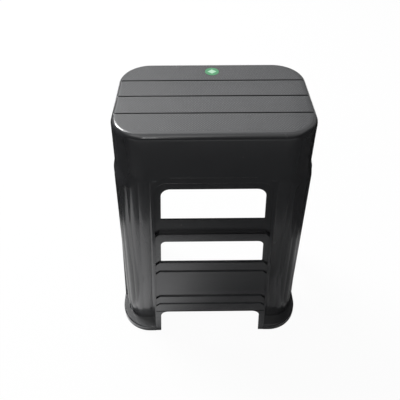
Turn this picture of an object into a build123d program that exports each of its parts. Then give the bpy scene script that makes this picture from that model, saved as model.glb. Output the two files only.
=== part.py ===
"""Moulded entry step stool: one hollow plastic shell with a plain round sticker on the tread.

X is the width, Y the depth (the front faces -Y) and Z is up. Sizes are in millimetres.
The origin is on the floor, in the middle of the base.
"""

import os
from collections import namedtuple
from math import atan, degrees, hypot, radians, tan

from build123d import *

# Heights on the front panel, stacked from the floor to the tread
cut_out = 67.6
foot_board = 24.5
slim_board = 24.0
broad_board = 72.6
sill_board = 24.1
low_window = 50.5
rail_lip = 18.3
rail_step = 4.5
rail_face = 24.6
high_window = 59.7
window_head = 11.6
arch_frame = 11.0
crown = 67.0

# Plan of the tread and of the foot
top_width = 266.0
top_depth = 170.0
top_corner = 44.0
top_round = 8.0
base_width = 354.0
base_depth = 258.0
base_corner = 58.0

# Walls
wall = 2.6
tread_wall = 3.2
rib_depth = 14.0
rib_wall = 2.0
ribs_across = 4
ribs_along = 2

# Smooth crown band under the tread
band_height = 70.0
band_spread = 5.6
band_overlap = 3.0
hollow_overlap = 6.0

# Reeded corner columns
reeds = 7
reed_rise = 1.2
reed_start_front = 2.2
reed_start_side = 0.3
column_corner = 39.0
column_set_in = 0.3
shoulder_angle = 17.5
ledge_front = 22.9
ledge_side = 9.6

# Foot flange
flange_height = 13.0
flange_round = 3.0
flange_draft = 1.3

# Panels on the four faces
front_opening_floor = 194.6
front_opening_top = 133.8
side_opening_floor = 84.0
side_opening_top = 58.0
frame_inner = 9.3
frame_outer = 14.2
frame_foot = 10.4
frame_step = 1.7
frame_setback = 0.4
pocket_depth = 1.6
board_ledge = 1.3
board_flush = 0.3
board_clip = 7.0
panel_depth = 40.0

# Corner radii of the panel outlines
arch_corner = 24.0
pocket_corner = 19.0
high_window_corner = 14.0
low_window_corner = 9.0
cut_out_corner = 15.0

# Open back between the two rear columns
back_opening_floor = 276.0
back_opening_top = 240.0
back_corner = 35.0

# Grooves that divide the tread into planks
groove_count = 3
groove_width = 2.2
groove_depth = 1.2

# Sticker on the rear plank
sticker_diameter = 20.0
sticker_thickness = 0.25
sticker_gap = 5.4

# Levels worked out from the stack of heights
foot_ledge = cut_out + foot_board
slim_ledge = foot_ledge + slim_board
broad_ledge = slim_ledge + broad_board
low_sill = broad_ledge + sill_board
low_head = low_sill + low_window
lip_ledge = low_head + rail_lip
step_ledge = lip_ledge + rail_step
high_sill = step_ledge + rail_face
high_head = high_sill + high_window
pocket_top = high_head + window_head
arch_top = pocket_top + arch_frame
height = arch_top + crown
band_rim = height - band_height
board_levels = (pocket_top, step_ledge, lip_ledge, low_sill, broad_ledge, slim_ledge, foot_ledge, cut_out)

plank_pitch = (top_depth - 2 * top_round) / (groove_count + 1)
clear = wall + panel_depth

Face = namedtuple("Face", "turn reach crown_reach opening_floor opening_top")


def band_half(half, z):
    """Half size of the crown band at a height, for a half size at the tread."""
    return half + band_spread * (height - z) / band_height


def make_face_data(turn, base, top, opening_floor, opening_top):
    """One face of the stool: its turn about Z, its reach at the floor and at the arch."""
    crown_reach = band_half(top / 2, arch_top) - frame_step
    return Face(turn, base / 2 - frame_setback, crown_reach, opening_floor, opening_top)


front = make_face_data(0, base_depth, top_depth, front_opening_floor, front_opening_top)
right = make_face_data(90, base_width, top_width, side_opening_floor, side_opening_top)
back = make_face_data(180, base_depth, top_depth, front_opening_floor, front_opening_top)
left = make_face_data(270, base_width, top_width, side_opening_floor, side_opening_top)
all_faces = (front, right, back, left)
stepped_faces = (front, right, left)


def opening_half(face, z):
    """Half width of a face's windows at a height."""
    return (face.opening_floor + (face.opening_top - face.opening_floor) * z / height) / 2


def frame_lean(face):
    """How far the panel frame leans in, per millimetre of height."""
    return (face.reach - face.crown_reach) / arch_top


def frame_half(face, z):
    """Half width of a face's arched frame at a height."""
    margin = frame_foot + (frame_outer - frame_foot) * z / arch_top
    return opening_half(face, z) + margin


def board_lean(face):
    """Lean of a panel's boards: the lowest one comes out nearly flush with the frame."""
    ledges = len(board_levels) - 2
    gain = ledges * board_ledge - pocket_depth + board_flush
    return frame_lean(face) - gain / (pocket_top - foot_ledge)


def leaning_plane(face, reach, lean):
    """Plane on a face: x to the right seen from outside, y up the slope, z outwards."""
    turn = face.turn
    return Plane(
        origin=Vector(0, -reach, 0).rotate(Axis.Z, turn),
        x_dir=Vector(1, 0, 0).rotate(Axis.Z, turn),
        z_dir=Vector(0, -1, lean).rotate(Axis.Z, turn),
    )


def frame_plane(face, inset=0.0):
    """Plane of a panel's arched frame, moved in by an inset."""
    return leaning_plane(face, face.reach - inset, frame_lean(face))


def board_plane(face, step, inset=0.0):
    """Plane of a panel board: each board stands one ledge further out than the one above."""
    pocket_reach = face.reach - frame_lean(face) * pocket_top - pocket_depth
    reach = pocket_reach + board_lean(face) * pocket_top + step * board_ledge - inset
    return leaning_plane(face, reach, board_lean(face))


def arched_outline(low_half, high_half, low, high, lean, corner):
    """Tapered outline with rounded top corners, drawn on a leaning plane."""
    slope = hypot(1, lean)
    corners = (
        (-low_half, low * slope),
        (low_half, low * slope),
        (high_half, high * slope),
        (-high_half, high * slope),
    )
    with BuildSketch() as outline:
        with BuildLine():
            Polyline(*corners, close=True)
        make_face()
        fillet(outline.vertices().group_by(Axis.Y)[-1], corner)
    return outline.sketch


def frame_outline(face, grow):
    """Outline of a panel's arched frame, from below the floor to the arch."""
    low = -clear
    high = arch_top + grow
    low_half = frame_half(face, low) + grow
    high_half = frame_half(face, high) + grow
    return arched_outline(low_half, high_half, low, high, frame_lean(face), arch_corner + grow)


def window_outline(face, low, high, lean, corner):
    """Outline of a window or of the floor cut-out."""
    return arched_outline(opening_half(face, low), opening_half(face, high), low, high, lean, corner)


def board_outline(face, grow, low, high, low_clip, high_clip):
    """Board with clipped top corners, and below it the corners that the next board leaves."""
    slope = hypot(1, board_lean(face))
    margin = frame_inner + grow
    low_half = opening_half(face, low) + margin
    high_half = opening_half(face, high) + margin
    low_y = (low - grow) * slope
    high_y = (high + grow) * slope
    right_side = [(low_half, low_y - low_clip), (high_half, high_y - high_clip)]
    if low_clip:
        right_side.insert(0, (low_half - low_clip, low_y))
    if high_clip:
        right_side.append((high_half - high_clip, high_y))
    left_side = [(-x, y) for x, y in reversed(right_side)]
    with BuildSketch() as outline:
        with BuildLine():
            Polyline(*right_side, *left_side, close=True)
        make_face()
        if not high_clip:
            fillet(outline.vertices().group_by(Axis.Y)[-1], pocket_corner + grow)
    return outline.sketch


def panel_boards(face):
    """Bottom and top of each board of a face, from the pocket downwards."""
    levels = board_levels
    if face not in stepped_faces:
        levels = levels[: levels.index(low_sill) + 1]
    return list(zip(levels[1:], levels[:-1]))


def panel_recess(face, grow):
    """The space in front of a face's boards, grown by the wall where the hollow keeps clear of it."""
    boards = panel_boards(face)
    last = len(boards) - 1
    with BuildPart() as recess:
        for step, (low, high) in enumerate(boards):
            low_clip = 0 if step == last else board_clip
            high_clip = 0 if step == 0 else board_clip
            with BuildSketch(board_plane(face, step, grow)):
                add(board_outline(face, grow, low, high, low_clip, high_clip))
            extrude(amount=panel_depth)
    return recess.part


def tapered_block(width, depth, corner, low, high, slope):
    """Block with rounded corners whose sides lean in by a slope, in size at its lower end."""
    with BuildPart() as block:
        with BuildSketch(Plane.XY.offset(low)):
            RectangleRounded(width, depth, corner)
        extrude(amount=high - low, taper=degrees(atan(slope)))
    return block.part


def band_block(inset, low, high):
    """The crown band between two heights, set in by an inset."""
    return tapered_block(
        2 * (band_half(top_width / 2, low) - inset),
        2 * (band_half(top_depth / 2, low) - inset),
        band_half(top_corner, low) - inset,
        low,
        high,
        band_spread / band_height,
    )


def shoulder_block(inset):
    """The flare that the columns' tops are trimmed to, from the rim of the crown outwards and down."""
    slope = tan(radians(shoulder_angle))
    grow = slope * (band_rim + clear) - inset
    return tapered_block(
        2 * (band_half(top_width / 2, band_rim) + grow),
        2 * (band_half(top_depth / 2, band_rim) + grow),
        band_half(top_corner, band_rim) + grow,
        -clear,
        band_rim + band_overlap,
        slope,
    )


# Course of the right rear column: its outer corner at the floor, and its run up to the crown's rim
column_foot = Vector(base_width / 2 - ledge_side, base_depth / 2 - ledge_front)
column_head = Vector(
    band_half(top_width / 2, band_rim) - column_set_in,
    band_half(top_depth / 2, band_rim) - column_set_in,
    band_rim,
)
column_run = column_head - column_foot
column_low = column_foot - column_run * (clear / band_rim)
column_plane = Plane(
    origin=column_low,
    x_dir=Vector(column_run.Z, 0, -column_run.X),
    z_dir=column_run,
)

# Where the reeds begin on the front and side faces, measured from that corner
reed_start = Vector(
    opening_half(front, -clear) + reed_start_front - column_low.X,
    opening_half(right, -clear) + reed_start_side - column_low.Y,
)


def reeded_outline():
    """Section of the right rear column across its run: reeds go round its outer corner."""
    with BuildLine() as corner_path:
        Line((reed_start.X, 0), (-column_corner, 0))
        CenterArc((-column_corner, -column_corner), column_corner, 90, -90)
        Line((0, -column_corner), (0, reed_start.Y))
    path = corner_path.wires()[0]
    with BuildSketch() as outline:
        with BuildLine():
            for reed in range(reeds):
                middle = (reed + 0.5) / reeds
                outwards = (path % middle).rotate(Axis.Z, 90)
                ThreePointArc(
                    path @ (reed / reeds),
                    path @ middle + outwards * reed_rise,
                    path @ ((reed + 1) / reeds),
                )
            Polyline((0, reed_start.Y), (reed_start.X, reed_start.Y), (reed_start.X, 0))
        make_face()
    return outline.sketch


def plain_outline():
    """Section of the hollow in the same column, one wall inside its reeds."""
    with BuildSketch() as outline:
        with Locations((-wall, -wall)):
            Rectangle(-reed_start.X, -reed_start.Y, align=(Align.MAX, Align.MAX))
        outer_corner = outline.vertices().sort_by(Axis.X)[-2:].sort_by(Axis.Y)[-1]
        fillet(outer_corner, column_corner - wall)
    return outline.sketch


def four_columns(outline, inset):
    """A column's section run up along its lean at all four corners and trimmed to the shoulder."""
    with BuildPart() as corners:
        with BuildSketch(column_plane):
            add(outline)
        extrude(amount=height + clear)
        mirror(about=Plane.XZ)
        mirror(about=Plane.YZ)
        add(shoulder_block(inset), mode=Mode.INTERSECT)
    return corners.part


os.makedirs("parts", exist_ok=True)

# Crown band and tread, with a rounded rim
with BuildPart() as crown_band:
    add(band_block(0, band_rim - band_overlap, height))
    fillet(crown_band.faces().sort_by(Axis.Z)[-1].edges(), top_round)

# Foot flange with a rounded rim
with BuildPart() as flange:
    add(tapered_block(base_width, base_depth, base_corner, 0, flange_height, flange_draft / flange_height))
    fillet(flange.faces().sort_by(Axis.Z)[-1].edges(), flange_round)

# Inside of the shell, one wall behind every outer face, with the ribs under the tread left standing
with BuildPart() as hollow:
    add(band_block(wall, band_rim - hollow_overlap, height - tread_wall))
    fillet(hollow.faces().sort_by(Axis.Z)[-1].edges(), top_round - wall)
    add(four_columns(plain_outline(), wall))
    with BuildSketch(Plane.XY.offset(-clear)):
        RectangleRounded(base_width - 2 * wall, base_depth - 2 * wall, base_corner - wall)
    extrude(amount=clear + flange_height - wall)
    with BuildSketch(Plane.XY.offset(-clear)):
        Rectangle(base_width - 2 * panel_depth, base_depth - 2 * panel_depth)
    extrude(amount=clear + flange_height + wall)
    for face in all_faces:
        with BuildSketch(frame_plane(face, wall)):
            add(frame_outline(face, -wall))
        extrude(amount=-panel_depth)
    for face in all_faces:
        with BuildSketch(frame_plane(face, wall)):
            add(frame_outline(face, wall))
        extrude(amount=panel_depth, mode=Mode.SUBTRACT)
        add(panel_recess(face, wall), mode=Mode.SUBTRACT)
    with BuildSketch(Plane.XY.offset(height - tread_wall)):
        with GridLocations(top_width / (ribs_across + 1), 0, ribs_across, 1):
            Rectangle(rib_wall, top_depth)
        with GridLocations(0, top_depth / (ribs_along + 1), 1, ribs_along):
            Rectangle(top_width, rib_wall)
    extrude(amount=-rib_depth, mode=Mode.SUBTRACT)

# The moulded shell
with BuildPart() as stool_body:
    add(four_columns(reeded_outline(), 0))
    add(crown_band.part)
    add(flange.part)
    for face in all_faces:
        with BuildSketch(frame_plane(face), mode=Mode.PRIVATE) as frame:
            add(frame_outline(face, 0))
        extrude(frame.sketch, amount=panel_depth, mode=Mode.SUBTRACT)
        extrude(frame.sketch, amount=-panel_depth)
    for face in all_faces:
        add(panel_recess(face, 0), mode=Mode.SUBTRACT)
    add(hollow.part, mode=Mode.SUBTRACT)
    # Windows and floor cut-outs
    for face in all_faces:
        with BuildSketch(board_plane(face, 0)):
            add(window_outline(face, high_sill, high_head, board_lean(face), high_window_corner))
        extrude(amount=panel_depth, both=True, mode=Mode.SUBTRACT)
    for face in stepped_faces:
        with BuildSketch(board_plane(face, 2)):
            add(window_outline(face, low_sill, low_head, board_lean(face), low_window_corner))
        extrude(amount=panel_depth, both=True, mode=Mode.SUBTRACT)
        with BuildSketch(frame_plane(face)):
            add(window_outline(face, -clear, cut_out, frame_lean(face), cut_out_corner))
        extrude(amount=panel_depth, both=True, mode=Mode.SUBTRACT)
    # Open back
    with BuildSketch(frame_plane(back)) as open_back:
        slope = hypot(1, frame_lean(back))
        with BuildLine():
            Polyline(
                (-back_opening_floor / 2, -clear),
                (back_opening_floor / 2, -clear),
                (back_opening_floor / 2, 0),
                (back_opening_top / 2, low_sill * slope),
                (-back_opening_top / 2, low_sill * slope),
                (-back_opening_floor / 2, 0),
                close=True,
            )
        make_face()
        fillet(open_back.vertices().group_by(Axis.Y)[-1], back_corner)
    extrude(amount=panel_depth, both=True, mode=Mode.SUBTRACT)
    split(bisect_by=Plane.XY, keep=Keep.TOP)
    # Plank grooves
    with BuildSketch(Plane.XY.offset(height)):
        with GridLocations(0, plank_pitch, 1, groove_count):
            Rectangle(top_width, groove_width)
    extrude(amount=-groove_depth, mode=Mode.SUBTRACT)

# Plain round sticker on the rear plank
with BuildPart() as round_sticker:
    sticker_y = top_depth / 2 - top_round - sticker_gap - sticker_diameter / 2
    with BuildSketch(Plane.XY.offset(height)):
        with Locations((0, sticker_y)):
            Circle(sticker_diameter / 2)
    extrude(amount=sticker_thickness)

stool_body.part.label = "stool_body"
export_step(stool_body.part, "parts/stool_body.step")
round_sticker.part.label = "round_sticker"
export_step(round_sticker.part, "parts/round_sticker.step")
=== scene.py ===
"""Looks of the moulded step stool: charcoal plastic, stippled planks and a plain round sticker.

Everything is in metres, in the frame of the stool's solids: X is the width, the front faces -Y,
Z is up.
"""

from math import radians

import bmesh
import bpy
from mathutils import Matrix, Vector


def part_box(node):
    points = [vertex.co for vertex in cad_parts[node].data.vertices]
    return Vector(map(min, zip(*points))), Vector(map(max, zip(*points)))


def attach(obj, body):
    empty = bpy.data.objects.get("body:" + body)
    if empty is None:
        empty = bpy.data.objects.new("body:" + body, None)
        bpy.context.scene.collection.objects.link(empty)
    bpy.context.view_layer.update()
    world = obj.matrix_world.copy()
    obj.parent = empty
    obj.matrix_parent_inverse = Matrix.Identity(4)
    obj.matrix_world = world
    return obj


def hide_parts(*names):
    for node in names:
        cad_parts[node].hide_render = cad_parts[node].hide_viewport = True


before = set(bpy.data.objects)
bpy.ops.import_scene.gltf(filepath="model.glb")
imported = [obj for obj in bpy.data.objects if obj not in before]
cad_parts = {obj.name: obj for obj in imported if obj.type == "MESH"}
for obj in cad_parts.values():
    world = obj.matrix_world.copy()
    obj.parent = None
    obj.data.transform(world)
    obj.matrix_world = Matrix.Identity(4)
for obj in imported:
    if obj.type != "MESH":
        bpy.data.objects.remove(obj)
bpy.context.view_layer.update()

sticker_low, sticker_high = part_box("round_sticker")

# Tread, from the plan of the moulding
tread_level = sticker_low.z
tread_width = 0.266
tread_depth = 0.170
tread_corner = 0.044
rim_round = 0.008
groove_count = 3
groove_width = 0.0022
plank_pitch = (tread_depth - 2 * rim_round) / (groove_count + 1)

# Stipple on the planks: small domes in a diamond lattice
stipple_pitch = 0.0037
dome_radius = 0.00095
dome_rise = 0.00024
dome_sink = 0.00010
stipple_margin = 0.0012
dome_segments = 6
dome_rings = 4

# Sticker
sticker_radius = (sticker_high.x - sticker_low.x) / 2
sticker_middle = (sticker_low + sticker_high) / 2

# Moulded edges: a small rounding on long runs high up, and a broader one on the lips over the arches
edge_round = 0.0004
lip_round = 0.0012
round_segments = 3
room_needed = 1.2 * edge_round
run_floor = 0.2
long_run = 9
straight_on = -0.5
edge_angle = radians(28)
lip_angle = 2 * edge_angle
flat_angle = radians(0.2)
same_point = 1e-6
face_weight = 100

# Lips over the arches: heights where the rounding starts, is full and ends
pocket_lip = (0.373, 0.380, 0.3835)
crown_lip = (0.393, 0.3932, 0.394)

# Lips at the front and the sides: half the breadth of the arch and the least depth from the middle
lip_front = (0.0826, 0.0885)
lip_side = (0.0381, 0.136)

# Camera, fitted to the outline of the stool in the photograph
camera_place = (-0.0228, -0.4547, 0.7603)
camera_turn = (radians(41.608), 0.0, radians(-0.605))
camera_lens = 35.1
camera_sensor = 36.0


class Wire:
    """One output of a node, ready for plain arithmetic."""

    def __init__(self, nodes, socket):
        self.nodes = nodes
        self.socket = socket

    def maths(self, operation, first, second=0.0):
        return self.nodes.add("ShaderNodeMath", {"operation": operation}, {0: first, 1: second})

    def __add__(self, other):
        return self.maths("ADD", self, other)

    def __radd__(self, other):
        return self.maths("ADD", other, self)

    def __sub__(self, other):
        return self.maths("SUBTRACT", self, other)

    def __rsub__(self, other):
        return self.maths("SUBTRACT", other, self)

    def __mul__(self, other):
        return self.maths("MULTIPLY", self, other)

    def __rmul__(self, other):
        return self.maths("MULTIPLY", other, self)

    def __truediv__(self, other):
        return self.maths("DIVIDE", self, other)

    def __gt__(self, other):
        return self.maths("GREATER_THAN", self, other)

    def __lt__(self, other):
        return self.maths("LESS_THAN", self, other)

    def __abs__(self):
        return self.maths("ABSOLUTE", self)


class Nodes:
    """Adds nodes to a shader or geometry tree, one call for each."""

    def __init__(self, tree):
        self.tree = tree
        tree.nodes.clear()

    def add(self, kind, settings=None, sockets=None, out=0):
        """A node of a kind, with its settings made first and then its sockets filled or linked."""
        made = self.tree.nodes.new(kind)
        for name, value in (settings or {}).items():
            setattr(made, name, value)
        for name, value in (sockets or {}).items():
            several = value if isinstance(value, list) else [value]
            for one in several:
                if isinstance(one, Wire):
                    self.tree.links.new(one.socket, made.inputs[name])
                else:
                    made.inputs[name].default_value = one
        return Wire(self, made.outputs[out]) if made.outputs else made

    def split(self, vector):
        """The x, y and z of a vector."""
        first = self.add("ShaderNodeSeparateXYZ", None, {0: vector})
        return [Wire(self, output) for output in first.socket.node.outputs]

    def noise(self, place, scale, detail=2.0, roughness=0.5):
        """Soft noise between 0 and 1, at a scale per metre."""
        return self.add(
            "ShaderNodeTexNoise",
            None,
            {"Vector": place, "Scale": scale, "Detail": detail, "Roughness": roughness},
        )

    def blend(self, factor, first, second):
        """Mix of two colours."""
        return self.add(
            "ShaderNodeMix",
            {"data_type": "RGBA"},
            {0: factor, 6: first, 7: second},
            out=2,
        )

    def ramp(self, value, low, high):
        """0 below low, 1 above high, smooth between."""
        return self.add(
            "ShaderNodeMapRange",
            {"interpolation_type": "SMOOTHSTEP"},
            {"Value": value, "From Min": low, "From Max": high},
        )


def new_finish(name):
    """An empty material and its nodes."""
    material = bpy.data.materials.new(name)
    material.use_nodes = True
    return material, Nodes(material.node_tree)


# Finishes

charcoal_dark = (0.037, 0.038, 0.041, 1.0)
charcoal_pale = (0.042, 0.043, 0.046, 1.0)
plank_dark = (0.025, 0.026, 0.028, 1.0)
plank_pale = (0.037, 0.038, 0.041, 1.0)
# Pale colour of the dome tops: a painted highlight for the sparkle of the stipple
dome_painted_highlight = (0.120, 0.123, 0.130, 1.0)
plank_from = tread_level - 0.0006
plank_full = tread_level - 0.0002
mottle_scale = 45.0
grain_scale = 900.0
peel_scale = 160.0
peel_depth = 0.00008
side_roughness = 0.26
side_coat = 0.8


def charcoal_plastic():
    """Semi-gloss moulded plastic: slow mottling, faint orange peel, matt planks on the tread, and dome
    tops painted paler as a painted highlight.
    """
    material, nodes = new_finish("charcoal_plastic")
    place = nodes.add("ShaderNodeTexCoord", out=3)
    height = nodes.split(place)[2]
    plank = nodes.ramp(height, plank_from, plank_full)
    mottle = nodes.noise(place, mottle_scale, detail=5.0, roughness=0.7)
    grain = nodes.noise(place, grain_scale)
    peel = nodes.noise(place, peel_scale)
    speckle = mottle * 0.4 + grain * 0.6
    side_colour = nodes.blend(speckle, charcoal_dark, charcoal_pale)
    # Dome tops painted paler towards their peaks, a painted highlight; the same mask also makes them a
    # little glossier
    dome = nodes.ramp(height, tread_level, tread_level + dome_rise) * (0.4 + mottle * 0.6)
    plank_colour = nodes.blend(dome, nodes.blend(speckle, plank_dark, plank_pale), dome_painted_highlight)
    bump = nodes.add(
        "ShaderNodeBump",
        None,
        {
            "Strength": 0.25,
            "Distance": peel_depth,
            "Height": peel * 0.4 + grain * (0.2 + plank * 0.6),
        },
    )
    shader = nodes.add(
        "ShaderNodeBsdfPrincipled",
        None,
        {
            "Base Color": nodes.blend(plank, side_colour, plank_colour),
            "Roughness": side_roughness + mottle * 0.02 + plank * 0.3 - dome * 0.15,
            "Coat Weight": side_coat - plank * 0.7,
            "Coat Roughness": 0.12,
            "Normal": bump,
        },
    )
    nodes.add("ShaderNodeOutputMaterial", None, {"Surface": shader})
    return material


film_green = (0.022, 0.25, 0.085, 1.0)
film_green_deep = (0.016, 0.20, 0.066, 1.0)
film_pale = (0.36, 0.60, 0.43, 1.0)
film_mottle_scale = 260.0
film_depth = 0.0001
lozenge_half_width = sticker_radius * 0.64
lozenge_half_depth = sticker_radius * 0.56
lozenge_edge = (0.85, 1.15)


def green_film():
    """Printed film of the sticker: green with a plain pale lozenge."""
    material, nodes = new_finish("green_film")
    place = nodes.add("ShaderNodeTexCoord", out=3)
    x, y = nodes.split(place)[:2]
    across = abs(x - sticker_middle.x) / lozenge_half_width
    along = abs(y - sticker_middle.y) / lozenge_half_depth
    lozenge = 1.0 - nodes.ramp(across + along, *lozenge_edge)
    mottle = nodes.noise(place, film_mottle_scale)
    green = nodes.blend(mottle, film_green_deep, film_green)
    bump = nodes.add(
        "ShaderNodeBump",
        None,
        {"Strength": 0.1, "Distance": film_depth, "Height": mottle},
    )
    shader = nodes.add(
        "ShaderNodeBsdfPrincipled",
        None,
        {
            "Base Color": nodes.blend(lozenge, green, film_pale),
            "Roughness": 0.30 + mottle * 0.10,
            "Normal": bump,
        },
    )
    nodes.add("ShaderNodeOutputMaterial", None, {"Surface": shader})
    return material


# The moulded shell


def room_beside(edge, sharp):
    """Space for a rounding on the two faces of an edge, from their breadth and the sides at its ends."""
    least = 1.0
    for face in edge.link_faces:
        least = min(least, face.calc_area() / max(e.calc_length() for e in face.edges))
        for corner in edge.verts:
            side = next(e for e in face.edges if e is not edge and corner in e.verts)
            far = side.other_vert(corner)
            along = (edge.other_vert(corner).co - corner.co).normalized()
            away = far.co - corner.co
            if side not in sharp or away.normalized().dot(along) > straight_on:
                across = (away - along * away.dot(along)).length
                shared = any(e in sharp and e is not side for e in far.link_edges)
                least = min(least, across / 2 if shared else across)
    return least


def edge_runs(sharp):
    """Sharp edges gathered into runs that carry on without a corner."""
    waiting = set(sharp)
    while waiting:
        run = [waiting.pop()]
        for edge in run:
            for corner in edge.verts:
                along = (edge.other_vert(corner).co - corner.co).normalized()
                for other in corner.link_edges:
                    away = (other.other_vert(corner).co - corner.co).normalized()
                    if other in waiting and away.dot(along) < straight_on:
                        waiting.remove(other)
                        run.append(other)
        yield run


def lip_share(edge):
    """Part of the full lip rounding, growing up the arches to their heads; none elsewhere."""
    middle = (edge.verts[0].co + edge.verts[1].co) / 2
    for across, out, (reach, depth) in (
        (abs(middle.x), abs(middle.y), lip_front),
        (abs(middle.y), abs(middle.x), lip_side),
    ):
        if across < reach and out > depth:
            for start, full, top in (pocket_lip, crown_lip):
                if start < middle.z < top:
                    return min(1.0, (middle.z - start) / (full - start))
    return 0.0


def weigh_edges(work):
    """Marks long high runs of outward edges with room on both sides, and the lips; the rest stay crisp."""
    share = work.edges.layers.float.new("bevel_weight_edge")
    for edge in work.edges:
        edge.smooth = edge.calc_face_angle(0.0) < edge_angle
    sharp = {edge for edge in work.edges if edge.is_convex and not edge.smooth}
    for run in edge_runs(sharp):
        high_up = all(v.co.z > run_floor for edge in run for v in edge.verts)
        roomy = min(room_beside(edge, sharp) for edge in run) > room_needed
        if len(run) >= long_run and high_up and roomy:
            for edge in run:
                edge[share] = edge_round / lip_round
                edge.smooth = True
        for edge in run:
            if lip_share(edge) > 0.0 and edge.calc_face_angle(0.0) > lip_angle:
                edge[share] = lip_share(edge)
                edge.smooth = True


def moulded_shell(material):
    """The shell with its triangles merged into faces and its edges rounded."""
    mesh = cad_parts["stool_body"].data.copy()
    mesh.materials.clear()
    mesh.materials.append(material)
    work = bmesh.new()
    work.from_mesh(mesh)
    bmesh.ops.remove_doubles(work, verts=work.verts, dist=same_point)
    bmesh.ops.dissolve_limit(work, angle_limit=flat_angle, verts=work.verts, edges=work.edges)
    weigh_edges(work)
    for face in work.faces:
        face.smooth = True
        face.material_index = 0
    work.to_mesh(mesh)
    work.free()
    shell = bpy.data.objects.new("moulded_shell", mesh)
    bpy.context.scene.collection.objects.link(shell)
    rounding = shell.modifiers.new("edge rounding", "BEVEL")
    rounding.width = lip_round
    rounding.segments = round_segments
    rounding.limit_method = "WEIGHT"
    rounding.use_clamp_overlap = False
    shading = shell.modifiers.new("flat faces stay flat", "WEIGHTED_NORMAL")
    shading.mode = "FACE_AREA"
    shading.weight = face_weight
    shading.keep_sharp = True
    return shell


# Stipple of the planks


def stipple_tree():
    """Domes in a diamond lattice over the planks, kept off the grooves, the rim and the sticker."""
    tree = bpy.data.node_groups.new("plank_stipple", "GeometryNodeTree")
    nodes = Nodes(tree)
    tree.interface.new_socket("Geometry", in_out="OUTPUT", socket_type="NodeSocketGeometry")
    sizes = {
        "Pitch": stipple_pitch,
        "Dome Radius": dome_radius,
        "Dome Rise": dome_rise,
        "Dome Sink": dome_sink,
        "Half Width": tread_width / 2 - rim_round - stipple_margin,
        "Half Depth": tread_depth / 2 - rim_round - stipple_margin,
        "Corner": tread_corner - rim_round - stipple_margin,
        "Plank Pitch": plank_pitch,
        "Groove Clearance": groove_width / 2 + stipple_margin,
        "Sticker Clearance": sticker_radius + stipple_margin,
    }
    for name in sizes:
        tree.interface.new_socket(name, in_out="INPUT", socket_type="NodeSocketFloat")
    tree.interface.new_socket("Sticker Middle", in_out="INPUT", socket_type="NodeSocketVector")
    tree.interface.new_socket("Finish", in_out="INPUT", socket_type="NodeSocketMaterial")
    group = nodes.add("NodeGroupInput").socket.node
    size = {name: Wire(nodes, group.outputs[name]) for name in (*sizes, "Sticker Middle", "Finish")}

    pitch = size["Pitch"]
    columns = nodes.add("ShaderNodeMath", {"operation": "CEIL"}, {0: size["Half Width"] / pitch}) * 2 + 1
    rows = nodes.add("ShaderNodeMath", {"operation": "CEIL"}, {0: size["Half Depth"] / pitch}) * 2 + 1
    lattice = nodes.add(
        "GeometryNodeMeshGrid",
        None,
        {
            "Size X": (columns - 1) * pitch,
            "Size Y": (rows - 1) * pitch,
            "Vertices X": columns,
            "Vertices Y": rows,
        },
    )
    half_step = nodes.add("ShaderNodeCombineXYZ", None, {0: pitch / 2, 1: pitch / 2})
    between = nodes.add("GeometryNodeTransform", None, {"Geometry": lattice, "Translation": half_step})
    points = nodes.add("GeometryNodeJoinGeometry", None, {0: [lattice, between]})

    place = nodes.add("GeometryNodeInputPosition")
    x, y = nodes.split(place)[:2]
    over_x = abs(x) - (size["Half Width"] - size["Corner"])
    over_y = abs(y) - (size["Half Depth"] - size["Corner"])
    past_x = over_x.maths("MAXIMUM", over_x, 0.0)
    past_y = over_y.maths("MAXIMUM", over_y, 0.0)
    reach = x.maths("SQRT", past_x * past_x + past_y * past_y)
    on_tread = reach < size["Corner"]
    from_groove = y.maths("PINGPONG", y, size["Plank Pitch"] / 2)
    off_groove = from_groove > size["Groove Clearance"]
    from_sticker = nodes.add(
        "ShaderNodeVectorMath",
        {"operation": "DISTANCE"},
        {0: place, 1: size["Sticker Middle"]},
        out=1,
    )
    off_sticker = from_sticker > size["Sticker Clearance"]

    ball = nodes.add(
        "GeometryNodeMeshUVSphere",
        None,
        {"Segments": dome_segments, "Rings": dome_rings, "Radius": 1.0},
    )
    level = nodes.split(nodes.add("GeometryNodeInputPosition"))[2]
    dome = nodes.add(
        "GeometryNodeDeleteGeometry",
        {"domain": "FACE"},
        {"Geometry": ball, "Selection": level < 0.0},
    )
    dome_size = nodes.add(
        "ShaderNodeCombineXYZ",
        None,
        {0: size["Dome Radius"], 1: size["Dome Radius"], 2: size["Dome Rise"] + size["Dome Sink"]},
    )
    dome_drop = nodes.add("ShaderNodeCombineXYZ", None, {2: 0.0 - size["Dome Sink"]})
    seated = nodes.add(
        "GeometryNodeTransform",
        None,
        {"Geometry": dome, "Translation": dome_drop, "Scale": dome_size},
    )
    domes = nodes.add(
        "GeometryNodeInstanceOnPoints",
        None,
        {"Points": points, "Selection": on_tread * off_groove * off_sticker, "Instance": seated},
    )
    smooth = nodes.add("GeometryNodeSetShadeSmooth", None, {"Geometry": domes})
    real = nodes.add("GeometryNodeRealizeInstances", None, {"Geometry": smooth})
    finished = nodes.add(
        "GeometryNodeSetMaterial",
        None,
        {"Geometry": real, "Material": size["Finish"]},
    )
    nodes.add("NodeGroupOutput", None, {0: finished})
    return tree, sizes


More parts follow.
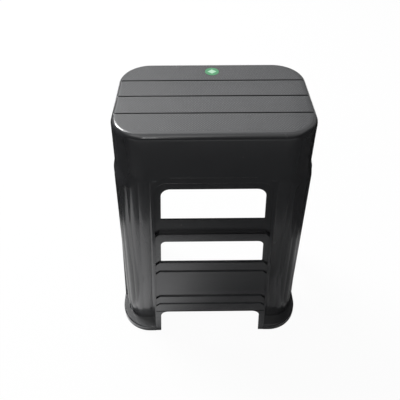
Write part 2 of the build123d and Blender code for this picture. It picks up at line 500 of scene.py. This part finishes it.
def plank_stipple(material):
    """The stipple as one plain mesh on the tread."""
    tree, sizes = stipple_tree()
    carrier = bpy.data.objects.new("stipple_carrier", bpy.data.meshes.new("stipple_carrier"))
    bpy.context.scene.collection.objects.link(carrier)
    modifier = carrier.modifiers.new("stipple", "NODES")
    modifier.node_group = tree
    inputs = {**sizes, "Sticker Middle": (sticker_middle.x, sticker_middle.y, 0.0), "Finish": material}
    for item in tree.interface.items_tree:
        if item.in_out == "INPUT":
            modifier[item.identifier] = inputs[item.name]
    graph = bpy.context.evaluated_depsgraph_get()
    mesh = bpy.data.meshes.new_from_object(carrier.evaluated_get(graph))
    bpy.data.objects.remove(carrier)
    for vertex in mesh.vertices:
        vertex.co.z += tread_level
    stipple = bpy.data.objects.new("plank_stipple", mesh)
    bpy.context.scene.collection.objects.link(stipple)
    return stipple


# Studio


def soft_light(name, place, target, width, height, power):
    """A rectangular lamp that faces a point."""
    lamp = bpy.data.lights.new(name, "AREA")
    lamp.shape = "RECTANGLE"
    lamp.size = width
    lamp.size_y = height
    lamp.energy = power
    holder = bpy.data.objects.new(name, lamp)
    holder.location = place
    holder.rotation_euler = (Vector(target) - Vector(place)).to_track_quat("-Z", "Y").to_euler()
    holder.visible_camera = False
    bpy.context.scene.collection.objects.link(holder)


def flat_card(name, corners, material):
    """A flat four-cornered card or floor."""
    mesh = bpy.data.meshes.new(name)
    mesh.from_pydata(corners, [], [(0, 1, 2, 3)])
    mesh.materials.append(material)
    card = bpy.data.objects.new(name, mesh)
    bpy.context.scene.collection.objects.link(card)
    return card


def reflected_card(name, corners, material):
    """A card that only reflections see."""
    card = flat_card(name, corners, material)
    card.visible_camera = False
    card.visible_shadow = False
    card.visible_diffuse = False


floor_reach = 3.0
floor_white_to_camera = 0.96
floor_pale = (0.86, 0.86, 0.87, 1.0)


def pale_floor():
    """White to the camera, with a faint shadow, and plainly lit in reflections."""
    material, nodes = new_finish("pale_floor")
    share = nodes.add("ShaderNodeLightPath") * floor_white_to_camera
    lit = nodes.add("ShaderNodeBsdfDiffuse", None, {"Color": floor_pale})
    white = nodes.add("ShaderNodeEmission", None, {"Color": (1.0, 1.0, 1.0, 1.0)})
    mixed = nodes.add("ShaderNodeMixShader", None, {0: share, 1: lit, 2: white})
    nodes.add("ShaderNodeOutputMaterial", None, {"Surface": mixed})
    r = floor_reach
    flat_card("floor", [(-r, -r, 0), (r, -r, 0), (r, r, 0), (-r, r, 0)], material)


# Dark cards: places of their corners on the floor, and their heights
flag_left = -0.485
flag_left_end = -0.395
flag_right = 0.37
flag_front = -0.38
flag_front_top = 0.30
flag_back_left = 0.07
flag_back_right = 0.02
flag_gap = 0.19
flag_top = 0.70
flag_back_top = 0.45
flag_shade = (0.03, 0.03, 0.03, 1.0)


def dark_flags():
    """Dark cards round the front and the sides of the stool, seen only in reflections."""
    material, nodes = new_finish("dark_flag")
    shade = nodes.add("ShaderNodeBsdfDiffuse", None, {"Color": flag_shade})
    nodes.add("ShaderNodeOutputMaterial", None, {"Surface": shade})
    back_left = (flag_left_end, flag_back_left)
    front_left = (flag_left, flag_front)
    front_right = (flag_right, flag_front)
    back_right = (flag_right, flag_back_right)
    runs = {
        "left": (back_left, front_left, flag_top),
        "front": (front_left, front_right, flag_front_top),
        "right": (front_right, back_right, flag_top),
        "back_left": ((-flag_gap, flag_back_left), back_left, flag_back_top),
        "back_right": (back_right, (flag_gap, flag_back_right), flag_back_top),
    }
    for side, (start, end, top) in runs.items():
        corners = [(*start, 0.0), (*end, 0.0), (*end, top), (*start, top)]
        reflected_card(f"dark_flag_{side}", corners, material)


# Painted shade mats: grey cards on the floor, seen only in reflections, that paint shade and the stool's
# shadow onto the reflected floor; their edges on the floor and their greys
mat_height = 0.0015
mat_inner = 0.180
mat_front = -0.20
front_mat_back = -0.21
front_shadow_fade = (-0.14, 0.06)
painted_shade_grey_left = 0.47
painted_shade_grey_right = 0.38
painted_shadow_grey_front = 0.43


def painted_shade_mat(side, grey, across, along, fade=None):
    """One grey card on the floor, seen only in reflections, painting shade on the reflected floor, with a
    soft left edge where a fade is given.
    """
    material, nodes = new_finish(f"painted_shade_mat_{side}")
    shade = nodes.add("ShaderNodeBsdfDiffuse", None, {"Color": (grey, grey, grey, 1.0)})
    if fade:
        pale = nodes.add("ShaderNodeBsdfDiffuse", None, {"Color": floor_pale})
        x = nodes.split(nodes.add("ShaderNodeTexCoord", out=3))[0]
        shade = nodes.add("ShaderNodeMixShader", None, {0: nodes.ramp(x, *fade), 1: pale, 2: shade})
    nodes.add("ShaderNodeOutputMaterial", None, {"Surface": shade})
    left, right = across
    front, back = along
    outline = ((left, front), (right, front), (right, back), (left, back))
    reflected_card(f"painted_shade_mat_{side}", [(x, y, mat_height) for x, y in outline], material)


def painted_shade_mats():
    """Painted shade on the reflected floor beside the stool, and a painted shadow of the stool before its
    right half.
    """
    # Side mats: painted shade on the floor that the reeds reflect
    painted_shade_mat("left", painted_shade_grey_left, (flag_left, -mat_inner), (mat_front, flag_back_left))
    painted_shade_mat("right", painted_shade_grey_right, (mat_inner, flag_right), (mat_front, flag_back_right))
    # Front mat: a painted shadow of the stool on the reflected floor, fading out towards the left
    front_span = (front_shadow_fade[0], flag_right)
    painted_shade_mat("front", painted_shadow_grey_front, front_span, (flag_front, front_mat_back), front_shadow_fade)


# Reflected ceiling: the weights of height and of depth in its fade, and its strength
ceiling_up = 0.94
ceiling_back = 0.34
ceiling_strength = 0.6
ambient = 0.05


def studio_world():
    """A pale ceiling that fades towards the front, and white behind the stool."""
    world = bpy.data.worlds.new("studio")
    bpy.context.scene.world = world
    world.use_nodes = True
    nodes = Nodes(world.node_tree)
    path = nodes.add("ShaderNodeLightPath").socket.node
    camera_ray = Wire(nodes, path.outputs["Is Camera Ray"])
    gloss_ray = Wire(nodes, path.outputs["Is Glossy Ray"])
    y, z = nodes.split(nodes.add("ShaderNodeTexCoord"))[1:]
    ceiling = nodes.ramp(z * ceiling_up + y * ceiling_back, 0.0, 1.0)
    strength = camera_ray + (1.0 - camera_ray) * (ambient + gloss_ray * ceiling * ceiling_strength)
    sky = nodes.add(
        "ShaderNodeBackground",
        None,
        {"Color": (1.0, 1.0, 1.0, 1.0), "Strength": strength},
    )
    nodes.add("ShaderNodeOutputWorld", None, {"Surface": sky})


def photo_camera():
    """Camera at the photograph's angle."""
    camera = bpy.data.cameras.new("photo_camera")
    camera.lens = camera_lens
    camera.sensor_width = camera_sensor
    holder = bpy.data.objects.new("photo_camera", camera)
    holder.location = camera_place
    holder.rotation_euler = camera_turn
    bpy.context.scene.collection.objects.link(holder)
    bpy.context.scene.camera = holder


# The dressed stool

plastic = charcoal_plastic()
film = green_film()

shell = moulded_shell(plastic)
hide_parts("stool_body")
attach(shell, "root")

stipple = plank_stipple(plastic)
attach(stipple, "root")

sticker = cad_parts["round_sticker"]
sticker.data.materials.clear()
sticker.data.materials.append(film)

# Point on the front panel that the broad lamps face
panel_middle = (0.0, -0.1, 0.20)

pale_floor()
dark_flags()
painted_shade_mats()
studio_world()
soft_light(
    "window",
    place=(-1.70, 1.53, 2.52),
    target=panel_middle,
    width=1.27,
    height=1.12,
    power=112.0,
)
soft_light(
    "overhead",
    place=(-0.10, 1.30, 1.75),
    target=(0.0, 0.0, 0.25),
    width=1.4,
    height=0.8,
    power=12.0,
)
soft_light(
    "front_fill",
    place=(-0.45, -0.80, 1.80),
    target=panel_middle,
    width=1.2,
    height=0.8,
    power=3.0,
)
soft_light(
    "rim_lamp",
    place=(-0.88, 0.70, 2.14),
    target=(-0.12, -0.08, 0.45),
    width=0.35,
    height=0.2,
    power=2.2,
)
soft_light(
    "front_lamp",
    place=(-0.28, -1.31, 1.30),
    target=(-0.08, -0.08, 0.45),
    width=0.10,
    height=0.10,
    power=0.9,
)
photo_camera()

bpy.context.scene.view_settings.view_transform = "Standard"
